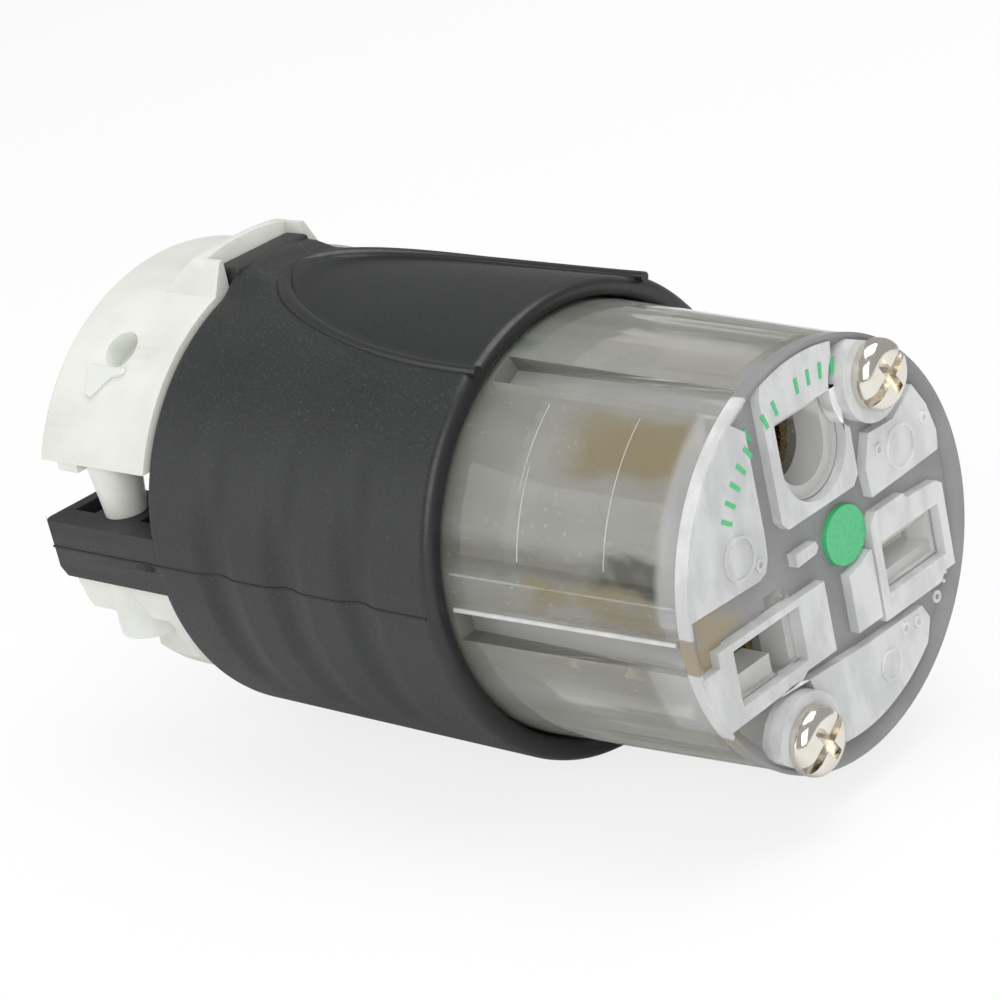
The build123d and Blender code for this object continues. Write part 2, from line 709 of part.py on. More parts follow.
# Lower clamp jaw: a lip under the wings and a rounder body with the screw heads let into it
with BuildPart() as lower_jaw:
    with BuildSketch(face_plane(-jaw_front)):
        Circle(lower_jaw_r)
        with Locations((0, jaw_r - wing_top - jaw_seat)):
            Rectangle(2 * jaw_r, 2 * jaw_r, mode=Mode.SUBTRACT)
        with Locations((0, -wing_top - lower_lip - jaw_r)):
            Rectangle(2 * jaw_r, 2 * jaw_r, mode=Mode.SUBTRACT)
    extrude(amount=-(lower_jaw_end - jaw_front))
    with BuildSketch(face_plane(-jaw_front)):
        Circle(lower_body_r)
        with Locations((0, jaw_r - wing_top - jaw_round)):
            Rectangle(2 * jaw_r, 2 * jaw_r, mode=Mode.SUBTRACT)
        with Locations((0, -lower_bottom - jaw_r)):
            Rectangle(2 * jaw_r, 2 * jaw_r, mode=Mode.SUBTRACT)
    extrude(amount=-(lower_body_end - jaw_front))
    with BuildSketch(face_plane(-jaw_front)):
        Circle(cord_r)
    extrude(amount=-(lower_jaw_end - jaw_front), mode=Mode.SUBTRACT)
    bottom = lower_jaw.faces().sort_by(Axis.Z)[0]
    fillet(bottom.edges().filter_by(Axis.Y), 2 * jaw_round)
    with BuildSketch(Plane.XY.offset(-wing_top - jaw_seat)):
        with Locations(*clamp_points):
            Circle(clamp_head_r + head_wall)
    extrude(amount=-(lower_screw_seat + clamp_head_h + jaw_round - wing_top - jaw_seat))
    with BuildSketch(Plane.XY.offset(-lower_screw_seat)):
        with Locations(*clamp_points):
            Circle(clamp_head_r + clamp_screw_clear)
    extrude(amount=-jaw_r, mode=Mode.SUBTRACT)
    with BuildSketch(Plane.XY.offset(-lower_screw_seat)):
        with Locations(*clamp_points):
            Circle(clamp_screw_r + clamp_screw_clear)
    extrude(amount=lower_screw_seat, mode=Mode.SUBTRACT)
lower_jaw.part.label = "lower_jaw"
export_step(lower_jaw.part, "parts/lower_jaw.step")

# Clamp screws, driven from below through the lower jaw and the wings into the posts
with BuildPart() as clamp_screws:
    with BuildSketch(Plane.XY.offset(-lower_screw_seat - seat_gap)):
        with Locations(*clamp_points):
            Circle(clamp_head_r)
    extrude(amount=-clamp_head_h)
    with BuildSketch(Plane.XY.offset(-lower_screw_seat - seat_gap)):
        with Locations(*clamp_points):
            Circle(clamp_screw_r)
    extrude(amount=lower_screw_seat + wing_top + clamp_screw_grip - seat_gap)
    with BuildSketch(Plane.XY.offset(-lower_screw_seat - seat_gap - clamp_head_h)):
        with Locations(*clamp_points):
            Rectangle(2 * clamp_head_r, drive_w)
    extrude(amount=drive_deep, mode=Mode.SUBTRACT)
clamp_screws.part.label = "clamp_screws"
export_step(clamp_screws.part, "parts/clamp_screws.step")
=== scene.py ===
"""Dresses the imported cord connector: clear front body, black shell, milky clamp, brass and nickel inside."""

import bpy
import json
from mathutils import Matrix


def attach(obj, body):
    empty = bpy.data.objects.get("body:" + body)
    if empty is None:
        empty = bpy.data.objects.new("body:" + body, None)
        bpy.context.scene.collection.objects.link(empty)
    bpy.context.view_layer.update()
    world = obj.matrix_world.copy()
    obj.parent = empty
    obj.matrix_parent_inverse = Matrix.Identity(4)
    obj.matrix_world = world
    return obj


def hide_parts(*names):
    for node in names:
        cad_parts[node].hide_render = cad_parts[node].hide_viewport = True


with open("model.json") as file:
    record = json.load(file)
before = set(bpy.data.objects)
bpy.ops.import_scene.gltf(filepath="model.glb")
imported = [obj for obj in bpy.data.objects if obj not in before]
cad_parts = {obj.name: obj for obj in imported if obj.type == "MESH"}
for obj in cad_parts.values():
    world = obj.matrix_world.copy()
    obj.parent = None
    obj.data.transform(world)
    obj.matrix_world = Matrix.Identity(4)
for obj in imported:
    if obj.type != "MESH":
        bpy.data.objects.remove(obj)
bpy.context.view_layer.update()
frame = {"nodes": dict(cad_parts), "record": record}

import json
import logging
import math
from dataclasses import dataclass
from enum import Enum
from typing import Callable, Optional, Sequence, Union

import bmesh
import bpy
from mathutils import Matrix, Vector

log = logging.getLogger("connector")

MM = 0.001
BODY = "root"
TURN = 2 * math.pi


class Side(Enum):
    """The two sides of the barrel, as the sign of Y."""

    TEE = -1
    STRAIGHT = 1


# Shader building


class Wire:
    """One output socket of a shader node; arithmetic on it adds Math nodes."""

    def __init__(self, tree: bpy.types.NodeTree, socket: bpy.types.NodeSocket) -> None:
        """Keeps the tree and the socket."""
        self.tree = tree
        self.socket = socket

    def _math(self, operation: str, *terms: "Term") -> "Wire":
        """Adds a Math node.

        Args:
            operation: The Math node's operation.
            terms: Wires or numbers for its inputs, in order.

        Returns:
            The node's output.
        """
        node = self.tree.nodes.new("ShaderNodeMath")
        node.operation = operation
        for socket, term in zip(node.inputs, terms):
            join(self.tree, socket, term)
        return Wire(self.tree, node.outputs[0])

    def __add__(self, other: "Term") -> "Wire":
        """Sum."""
        return self._math("ADD", self, other)

    __radd__ = __add__

    def __sub__(self, other: "Term") -> "Wire":
        """Difference."""
        return self._math("SUBTRACT", self, other)

    def __rsub__(self, other: "Term") -> "Wire":
        """Reflected difference."""
        return self._math("SUBTRACT", other, self)

    def __mul__(self, other: "Term") -> "Wire":
        """Product."""
        return self._math("MULTIPLY", self, other)

    __rmul__ = __mul__

    def __truediv__(self, other: "Term") -> "Wire":
        """Quotient."""
        return self._math("DIVIDE", self, other)

    def __pow__(self, other: "Term") -> "Wire":
        """Power."""
        return self._math("POWER", self, other)

    def least(self, other: "Term") -> "Wire":
        """The smaller of the two."""
        return self._math("MINIMUM", self, other)

    def most(self, other: "Term") -> "Wire":
        """The larger of the two."""
        return self._math("MAXIMUM", self, other)

    def size(self) -> "Wire":
        """The value without its sign."""
        return self._math("ABSOLUTE", self)

    def root(self) -> "Wire":
        """Square root."""
        return self._math("SQRT", self)

    def angle(self, other: "Term") -> "Wire":
        """Arc tangent of this value over the other, in radians."""
        return self._math("ARCTAN2", self, other)


Term = Union[Wire, float]


def join(tree: bpy.types.NodeTree, socket: bpy.types.NodeSocket, value: object) -> None:
    """Links a wire to an input socket, or sets the socket to a plain value.

    Args:
        tree: The node tree.
        socket: The input socket.
        value: A wire, a number or a tuple.
    """
    if isinstance(value, Wire):
        tree.links.new(value.socket, socket)
    else:
        socket.default_value = value


class Graph:
    """A node tree that is filled through one method."""

    def __init__(self, tree: bpy.types.NodeTree) -> None:
        """Keeps the tree and empties it."""
        self.tree = tree
        self.tree.nodes.clear()

    def node(
        self,
        kind: str,
        settings: Optional[dict] = None,
        sockets: Optional[dict] = None,
        output: Union[int, str] = 0,
    ) -> Wire:
        """Adds one node.

        Args:
            kind: The node's type, without its ShaderNode prefix.
            settings: The node's own properties, set first; "stops" fills a ramp.
            sockets: Values or wires by socket name or number.
            output: The output that is returned.

        Returns:
            The chosen output.
        """
        node = self.tree.nodes.new("ShaderNode" + kind)
        for key, value in (settings or {}).items():
            if key == "stops":
                ramp = node.color_ramp
                while len(ramp.elements) < len(value):
                    ramp.elements.new(0.5)
                for element, (place, colour) in zip(ramp.elements, value):
                    element.position = place
                    element.color = (*colour, 1.0)
            else:
                setattr(node, key, value)
        for key, value in (sockets or {}).items():
            join(self.tree, node.inputs[key], value)
        return Wire(self.tree, node.outputs[output])

    def seen(self) -> Wire:
        """One for rays of the camera and rays that came through clear plastic."""
        camera = self.node("LightPath", output="Is Camera Ray")
        through = self.node("LightPath", output="Is Transmission Ray")
        return camera.most(through)

    def out(self, kind: str, surface: Wire) -> None:
        """Links a surface to the tree's output node."""
        node = self.tree.nodes.new("ShaderNode" + kind)
        self.tree.links.new(surface.socket, node.inputs["Surface"])


class Shader(Graph):
    """A material's node tree."""

    def __init__(self, name: str) -> None:
        """Makes an empty material of that name."""
        self.material = bpy.data.materials.new(name)
        self.material.use_nodes = True
        super().__init__(self.material.node_tree)

    def place(self) -> Wire:
        """Object coordinates."""
        return self.node("TexCoord", output="Object")

    def axes(self) -> tuple[Wire, Wire, Wire]:
        """Object coordinates along X, Y and Z, in millimetres."""
        split = self.tree.nodes.new("ShaderNodeSeparateXYZ")
        join(self.tree, split.inputs[0], self.place())
        return tuple(Wire(self.tree, socket) * (1 / MM) for socket in split.outputs)

    def noise(self, grain_mm: float, detail: float = 2.0, rough: float = 0.5, stretch: Sequence[float] = (1, 1, 1)) -> Wire:
        """Noise of a given grain.

        Args:
            grain_mm: Size of its features in millimetres.
            detail: Octaves.
            rough: Weight of the finer octaves.
            stretch: Factors on the three axes.

        Returns:
            The noise value, about 0 to 1.
        """
        vector = self.node("Mapping", sockets={"Vector": self.place(), "Scale": tuple(stretch)})
        return self.node(
            "TexNoise",
            sockets={"Vector": vector, "Scale": 1 / (grain_mm * MM), "Detail": detail, "Roughness": rough},
        )

    def span(self, value: Wire, low: float, high: float, start: float = 0.0, end: float = 1.0) -> Wire:
        """Smooth map of a value from one range to another.

        Args:
            value: The value.
            low: Where the result is start.
            high: Where the result is end.
            start: First result.
            end: Last result.

        Returns:
            The mapped value.
        """
        return self.node(
            "MapRange",
            {"interpolation_type": "SMOOTHSTEP"},
            {0: value, 1: low, 2: high, 3: start, 4: end},
        )

    def blend(self, mask: Term, first: object, second: object) -> Wire:
        """Mix of two colours by a mask."""
        mix = self.tree.nodes.new("ShaderNodeMix")
        mix.data_type = "RGBA"
        join(self.tree, mix.inputs[0], mask)
        for number, colour in ((6, first), (7, second)):
            join(self.tree, mix.inputs[number], colour if isinstance(colour, Wire) else (*colour, 1.0))
        return Wire(self.tree, mix.outputs[2])

    def bump(self, height: Wire, depth_mm: float, strength: float = 1.0) -> Wire:
        """Normal from a height of 0 to 1, with its depth in millimetres."""
        return self.node("Bump", sockets={"Strength": strength, "Distance": depth_mm * MM, "Height": height})

    def finish(self, **sockets: object) -> bpy.types.Material:
        """Adds the surface shader and the output.

        Args:
            sockets: Principled inputs by name, with _ for a space.

        Returns:
            The material.
        """
        named = {key.replace("_", " "): value for key, value in sockets.items()}
        self.out("OutputMaterial", self.node("BsdfPrincipled", sockets=named))
        return self.material


Colour = tuple[float, float, float]
Point = tuple[float, float]


@dataclass(frozen=True)
class GrainedNylon:
    """Black moulded nylon with a fine spark-eroded grain."""

    name: str = "black_nylon_grained"
    colour: Colour = (0.017, 0.018, 0.018)
    speck: Colour = (0.080, 0.083, 0.083)
    grain_mm: float = 0.22
    depth_mm: float = 0.055

    def material(self) -> bpy.types.Material:
        """Builds the material."""
        shader = Shader(self.name)
        grain = shader.noise(self.grain_mm, 3.0, 0.6)
        broad = shader.noise(9.0, 2.0)
        speck = shader.span(grain, 0.55, 0.75)
        colour = shader.blend(speck * 0.6 + broad * 0.15, self.colour, self.speck)
        return shader.finish(
            Base_Color=colour,
            Roughness=shader.span(grain, 0.3, 0.7, 0.42, 0.58),
            Specular_IOR_Level=0.4,
            Normal=shader.bump(grain, self.depth_mm, 0.8),
        )


@dataclass(frozen=True)
class SmoothBlack:
    """The smoother black of the rim, the oval panel's bead and the parting line."""

    name: str = "black_nylon_smooth"
    colour: Colour = (0.020, 0.021, 0.022)
    rough: float = 0.30

    def material(self) -> bpy.types.Material:
        """Builds the material."""
        shader = Shader(self.name)
        mottle = shader.noise(0.5, 2.0)
        deeper = tuple(part * 0.7 for part in self.colour)
        return shader.finish(
            Base_Color=shader.blend(mottle, self.colour, deeper),
            Roughness=shader.span(mottle, 0.3, 0.7, self.rough, self.rough + 0.1),
            Normal=shader.bump(mottle, 0.008, 0.5),
        )


@dataclass(frozen=True)
class MilkyNylon:
    """Natural white nylon, slightly see-through at its edges."""

    colour: Colour = (0.735, 0.748, 0.70)
    shade: Colour = (0.67, 0.685, 0.63)
    name: str = "white_nylon_milky"

    def material(self) -> bpy.types.Material:
        """Builds the material."""
        shader = Shader(self.name)
        cloud = shader.noise(6.0, 3.0)
        fine = shader.noise(0.35, 2.0)
        return shader.finish(
            Base_Color=shader.blend(shader.span(cloud, 0.35, 0.7), self.colour, self.shade),
            Roughness=shader.span(fine, 0.3, 0.7, 0.34, 0.46),
            Subsurface_Weight=0.3,
            Subsurface_Radius=(1.0, 1.0, 0.8),
            Subsurface_Scale=1.5 * MM,
            Normal=shader.bump(fine, 0.01, 0.5),
        )


@dataclass(frozen=True)
class ClearPlastic:
    """Clear moulded plastic: part of the light scatters, so it reads as a grey haze."""

    name: str = "clear_plastic"
    tint: Colour = (0.665, 0.66, 0.62)
    shade: Colour = (0.565, 0.56, 0.51)
    through: float = 0.72
    rough: float = 0.05
    ripple_mm: float = 0.02
    ior: float = 1.30

    def material(self) -> bpy.types.Material:
        """Builds the material."""
        shader = Shader(self.name)
        ripple = shader.noise(5.0, 1.0, 0.4, (0.25, 1, 1))
        haze = shader.noise(0.5, 3.0)
        return shader.finish(
            Base_Color=shader.blend(shader.span(ripple, 0.35, 0.7), self.tint, self.shade),
            Roughness=shader.span(haze, 0.45, 0.8, self.rough, self.rough + 0.10),
            Transmission_Weight=self.through,
            IOR=self.ior,
            Normal=shader.bump(ripple, self.ripple_mm, 0.6),
        )


@dataclass(frozen=True)
class TintedClear(ClearPlastic):
    """The clear cup, with tints painted on parts of its side: brass and green where inner parts show through, painted
    shadow and painted highlights.
    """

    name: str = "clear_cup"
    brass: Colour = (0.56, 0.49, 0.33)
    shadow: Colour = (0.20, 0.20, 0.17)
    leaf: Colour = (0.30, 0.48, 0.28)
    # Painted highlight colour, for the strip near the top and the pale front edge where the pads show through.
    light: Colour = (0.95, 0.95, 0.95)

    def material(self) -> bpy.types.Material:
        """Builds the material."""
        shader = Shader(self.name)
        x, y, z = shader.axes()
        angle = (-1.0 * y).angle(z) * math.degrees(1.0)
        ripple = shader.noise(5.0, 1.0, 0.4, (0.25, 1, 1))
        haze = shader.noise(2.0, 2.0)
        patch = shader.noise(3.0, 3.0, 0.6, (0.5, 1, 1))
        wander = (patch - 0.5) * 14.0

        def window(low_x: float, high_x: float, low: float, high: float, soft: float) -> Wire:
            """One inside a span along X and a span of angles, with soft ends."""
            along = shader.span(x + wander * 0.3, low_x - 1.0, low_x + 3.5) * shader.span(x + wander * 0.3, high_x, high_x - 3.0)
            round_it = shader.span(angle + wander, low, low + soft) * shader.span(angle + wander, high, high - soft)
            return along * round_it

        colour = shader.blend(shader.span(ripple, 0.35, 0.7), self.tint, self.shade)
        # Brass and green painted where the inner parts show through, and painted shadow in the low bands.
        colour = shader.blend(window(-14.0, 2.0, 30.0, 53.0, 5.0) * 0.95, colour, self.brass)
        colour = shader.blend(window(-18.0, -1.0, 74.0, 90.0, 5.0) * shader.span(patch, 0.42, 0.6), colour, self.brass)
        colour = shader.blend(window(-24.0, -10.0, 70.0, 84.0, 6.0) * shader.span(patch, 0.5, 0.62), colour, self.brass)
        colour = shader.blend(window(-10.0, 0.5, 67.0, 80.0, 3.0) * shader.span(haze, 0.3, 0.6, 0.6, 1.0), colour, self.shadow)
        colour = shader.blend(window(-25.0, -8.0, 68.0, 80.0, 5.0) * 0.45, colour, self.shadow)
        colour = shader.blend(window(-26.0, -20.0, 10.0, 21.0, 4.0) * 0.7, colour, self.leaf)
        # A painted shade band and a painted highlight strip near the top.
        colour = shader.blend(shader.span(angle, -14.0, -10.0) * shader.span(angle, 5.0, 1.0) * 0.35, colour, self.shadow)
        colour = shader.blend(shader.span(angle, -38.0, -34.0) * shader.span(angle, -18.0, -22.0), colour, self.light)
        # Painted highlight at the front of the side, where the pads show through pale.
        plate = shader.span(x, -3.4, -2.6) * shader.span(angle, 22.0, 25.0) * shader.span(angle, 87.0, 84.0)
        block = shader.span(x, -5.4, -4.4) * shader.span(angle, 97.0, 99.0) * shader.span(angle, 120.0, 118.0)
        colour = shader.blend(plate.most(block) * 0.85, colour, self.light)
        return shader.finish(
            Base_Color=colour,
            Roughness=shader.span(haze, 0.45, 0.8, self.rough, self.rough + 0.08),
            Transmission_Weight=self.through,
            IOR=self.ior,
            Normal=shader.bump(ripple, self.ripple_mm, 0.6),
        )


@dataclass(frozen=True)
class PadClear(ClearPlastic):
    """The raised pads: bright on the straight slot's side, greyer and streaked towards the tee side."""

    name: str = "clear_pads"
    tint: Colour = (0.97, 0.975, 0.97)
    shade: Colour = (0.84, 0.845, 0.845)
    grey: Colour = (0.70, 0.705, 0.71)
    through: float = 0.3
    rough: float = 0.08
    ripple_mm: float = 0.05

    def material(self) -> bpy.types.Material:
        """Builds the material."""
        shader = Shader(self.name)
        across = shader.axes()[1]
        streak = shader.noise(2.4, 3.0, 0.6, (1, 1, 0.45))
        ripple = shader.noise(3.0, 1.0)
        far = shader.span(across, 6.0, -8.0, 0.15, 0.75)
        colour = shader.blend(shader.span(streak, 0.42, 0.62), self.tint, self.shade)
        colour = shader.blend(far * shader.span(streak, 0.3, 0.6, 0.45, 1.0), colour, self.grey)
        return shader.finish(
            Base_Color=colour,
            Roughness=shader.span(streak, 0.4, 0.7, self.rough, self.rough + 0.1),
            Transmission_Weight=self.through,
            IOR=self.ior,
            Normal=shader.bump(ripple, self.ripple_mm, 0.6),
        )


@dataclass(frozen=True)
class FloorClear(ClearPlastic):
    """The floor between the pads: grey, with brass showing through beside the tee slot."""

    name: str = "clear_floor"
    tint: Colour = (0.37, 0.37, 0.375)
    shade: Colour = (0.32, 0.32, 0.325)
    brass: Colour = (0.42, 0.36, 0.25)
    through: float = 0.25
    rough: float = 0.32
    ripple_mm: float = 0.01

    def material(self) -> bpy.types.Material:
        """Builds the material."""
        shader = Shader(self.name)
        across, up = shader.axes()[1:]
        ripple = shader.noise(5.0, 1.0, 0.4, (0.25, 1, 1))
        patch = shader.noise(2.0, 3.0, 0.6)
        near = shader.span(across, -9.0, -12.0) * shader.span(up, 3.0, 1.0) * shader.span(up, -10.0, -8.0)
        colour = shader.blend(shader.span(ripple, 0.35, 0.7), self.tint, self.shade)
        return shader.finish(
            Base_Color=shader.blend(near * shader.span(patch, 0.35, 0.6), colour, self.brass),
            Roughness=shader.span(patch, 0.45, 0.8, self.rough, self.rough + 0.1),
            Transmission_Weight=self.through,
            IOR=self.ior,
            Normal=shader.bump(ripple, self.ripple_mm, 0.6),
        )


@dataclass(frozen=True)
class Metal:
    """A plated or plain metal."""

    name: str
    colour: Colour
    rough: float = 0.2
    dull: Colour = (0.3, 0.28, 0.22)
    dull_share: float = 0.3
    stretch: tuple[float, float, float] = (0.15, 1, 1)

    def material(self) -> bpy.types.Material:
        """Builds the material."""
        shader = Shader(self.name)
        cloud = shader.noise(2.5, 3.0)
        lines = shader.noise(0.12, 2.0, 0.5, self.stretch)
        return shader.finish(
            Base_Color=shader.blend(shader.span(cloud, 0.4, 0.8, 0.0, self.dull_share), self.colour, self.dull),
            Metallic=1.0,
            Roughness=shader.span(lines, 0.3, 0.7, self.rough, self.rough + 0.12),
            Normal=shader.bump(lines, 0.004, 0.5),
        )


@dataclass(frozen=True)
class Ink:
    """Printed or moulded green."""

    name: str = "green_ink"
    colour: Colour = (0.085, 0.53, 0.22)

    def material(self) -> bpy.types.Material:
        """Builds the material."""
        shader = Shader(self.name)
        mottle = shader.noise(0.4, 2.0)
        deeper = tuple(part * 0.9 for part in self.colour)
        return shader.finish(
            Base_Color=shader.blend(shader.span(mottle, 0.4, 0.7), self.colour, deeper),
            Roughness=shader.span(mottle, 0.3, 0.7, 0.30, 0.42),
        )


# Mesh building


def new_piece(name: str, grid: bmesh.types.BMesh, materials: Sequence[bpy.types.Material], slot: str) -> bpy.types.Object:
    """Turns a bmesh into a piece that rides with the connector.

    Args:
        name: The piece's name.
        grid: Its mesh, in metres; freed here.
        materials: Its materials in slot order.
        slot: The record's material slot; not used.

    Returns:
        The new object.
    """
    mesh = bpy.data.meshes.new(name)
    grid.to_mesh(mesh)
    grid.free()
    piece = bpy.data.objects.new(name, mesh)
    bpy.context.scene.collection.objects.link(piece)
    for material in materials:
        mesh.materials.append(material)
    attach(piece, BODY)
    log.info("%s: %d faces", name, len(mesh.polygons))
    return piece


def smooth(piece: bpy.types.Object, angle: float = 30.0) -> None:
    """Smooth shading with sharp edges above an angle in degrees."""
    mesh = piece.data
    mesh.polygons.foreach_set("use_smooth", [True] * len(mesh.polygons))
    mesh.set_sharp_from_angle(angle=math.radians(angle))


def soften(piece: bpy.types.Object, width_mm: float, segments: int = 2, angle: float = 30.0) -> None:
    """Adds a bevel modifier on the sharp edges.

    Args:
        piece: The object.
        width_mm: Width of the bevel.
        segments: Its segments.
        angle: Edges above this angle are bevelled, in degrees.
    """
    bevel = piece.modifiers.new("edges", "BEVEL")
    bevel.width = width_mm * MM
    bevel.segments = segments
    bevel.limit_method = "ANGLE"
    bevel.angle_limit = math.radians(angle)
    bevel.harden_normals = True
    bevel.use_clamp_overlap = True


def merged_copy(node: str) -> bmesh.types.BMesh:
    """Copies a CAD node's mesh with its loose triangles merged into flat faces.

    Args:
        node: The CAD node.

    Returns:
        The merged mesh.
    """
    grid = bmesh.new()
    grid.from_mesh(frame["nodes"][node].data)
    bmesh.ops.remove_doubles(grid, verts=grid.verts, dist=0.002 * MM)
    bmesh.ops.dissolve_limit(
        grid, angle_limit=math.radians(0.5), use_dissolve_boundaries=False, verts=grid.verts, edges=grid.edges
    )
    return grid


def profile(points: Sequence[tuple[float, float]], closed: bool = True) -> bmesh.types.BMesh:
    """A wire of points (x, radius) in the XZ plane, in millimetres."""
    grid = bmesh.new()
    verts = [grid.verts.new((x * MM, 0, r * MM)) for x, r in points]
    for first, second in zip(verts, verts[1:] + verts[:1] if closed else verts[1:]):
        grid.edges.new((first, second))
    return grid


def spin(grid: bmesh.types.BMesh, steps: int) -> bmesh.types.BMesh:
    """Spins a wire fully about the barrel's axis.

    Args:
        grid: The wire.
        steps: Steps of the spin.

    Returns:
        The same mesh, turned into a closed surface with its faces outwards.
    """
    bmesh.ops.spin(
        grid, geom=grid.verts[:] + grid.edges[:], cent=(0, 0, 0), axis=(1, 0, 0), angle=TURN, steps=steps,
        use_merge=True, use_duplicate=False,
    )
    bmesh.ops.remove_doubles(grid, verts=grid.verts, dist=0.001 * MM)
    bmesh.ops.recalc_face_normals(grid, faces=grid.faces)
    return grid


def arc(radius: float, start: float, end: float, steps: int, centre: Point = (0.0, 0.0)) -> list[Point]:
    """Points (y, z) on an arc of the face.

    Args:
        radius: Its radius in millimetres.
        start: First angle from the top towards the tee side, in degrees.
        end: Last angle.
        steps: Steps between them.
        centre: Its centre.

    Returns:
        The points in order.
    """
    points = []
    for step in range(steps + 1):
        angle = math.radians(start + (end - start) * step / steps)
        points.append((centre[0] - radius * math.sin(angle), centre[1] + radius * math.cos(angle)))
    return points


def slab(loops: Sequence[Sequence[Point]], low: float, high: float) -> bmesh.types.BMesh:
    """Raises a flat outline with holes along the barrel.

    Args:
        loops: The outline and its holes as points (y, z) in millimetres.
        low: Where it starts along X.
        high: Where it ends.

    Returns:
        The closed mesh.
    """
    grid = bmesh.new()
    for loop in loops:
        verts = [grid.verts.new((low * MM, y * MM, z * MM)) for y, z in loop]
        for first, second in zip(verts, verts[1:] + verts[:1]):
            grid.edges.new((first, second))
    bmesh.ops.triangle_fill(grid, use_beauty=True, use_dissolve=False, edges=grid.edges[:])
    bmesh.ops.dissolve_limit(grid, angle_limit=0.01, verts=grid.verts[:], edges=grid.edges[:])
    raised = bmesh.ops.extrude_face_region(grid, geom=grid.faces[:])["geom"]
    bmesh.ops.translate(
        grid, verts=[item for item in raised if isinstance(item, bmesh.types.BMVert)], vec=((high - low) * MM, 0, 0)
    )
    bmesh.ops.recalc_face_normals(grid, faces=grid.faces[:])
    return grid


def gather(grids: Sequence[bmesh.types.BMesh]) -> bmesh.types.BMesh:
    """Joins several meshes into one and frees them."""
    whole = bmesh.new()
    for grid in grids:
        mesh = bpy.data.meshes.new("part")
        grid.to_mesh(mesh)
        grid.free()
        whole.from_mesh(mesh)
        bpy.data.meshes.remove(mesh)
    return whole


def tube(path: Sequence[tuple[float, float, float]], radii: Sequence[float], closed: bool = False) -> bmesh.types.BMesh:
    """A round tube along a path.

    Args:
        path: Points in millimetres.
        radii: The tube's radius at each of them.
        closed: Whether the path runs back to its start.

    Returns:
        The tube's mesh with filled ends.
    """
    curve = bpy.data.curves.new("path", "CURVE")
    curve.dimensions = "3D"
    curve.bevel_depth = 1.0
    curve.bevel_resolution = 3
    curve.use_fill_caps = True
    line = curve.splines.new("POLY")
    line.points.add(len(path) - 1)
    for point, place, radius in zip(line.points, path, radii):
        point.co = (*(part * MM for part in place), 1.0)
        point.radius = radius * MM
    line.use_cyclic_u = closed
    holder = bpy.data.objects.new("path", curve)
    bpy.context.scene.collection.objects.link(holder)
    mesh = bpy.data.meshes.new_from_object(holder)
    bpy.data.objects.remove(holder)
    bpy.data.curves.remove(curve)
    grid = bmesh.new()
    grid.from_mesh(mesh)
    bpy.data.meshes.remove(mesh)
    bmesh.ops.remove_doubles(grid, verts=grid.verts, dist=0.001 * MM)
    bmesh.ops.recalc_face_normals(grid, faces=grid.faces[:])
    return grid


def round_place(x: float, radius: float, degrees: float) -> tuple[float, float, float]:
    """Point on the barrel at a distance behind the face, a radius and an angle from the top to the tee side."""
    angle = math.radians(degrees)
    return (-x, -radius * math.sin(angle), radius * math.cos(angle))


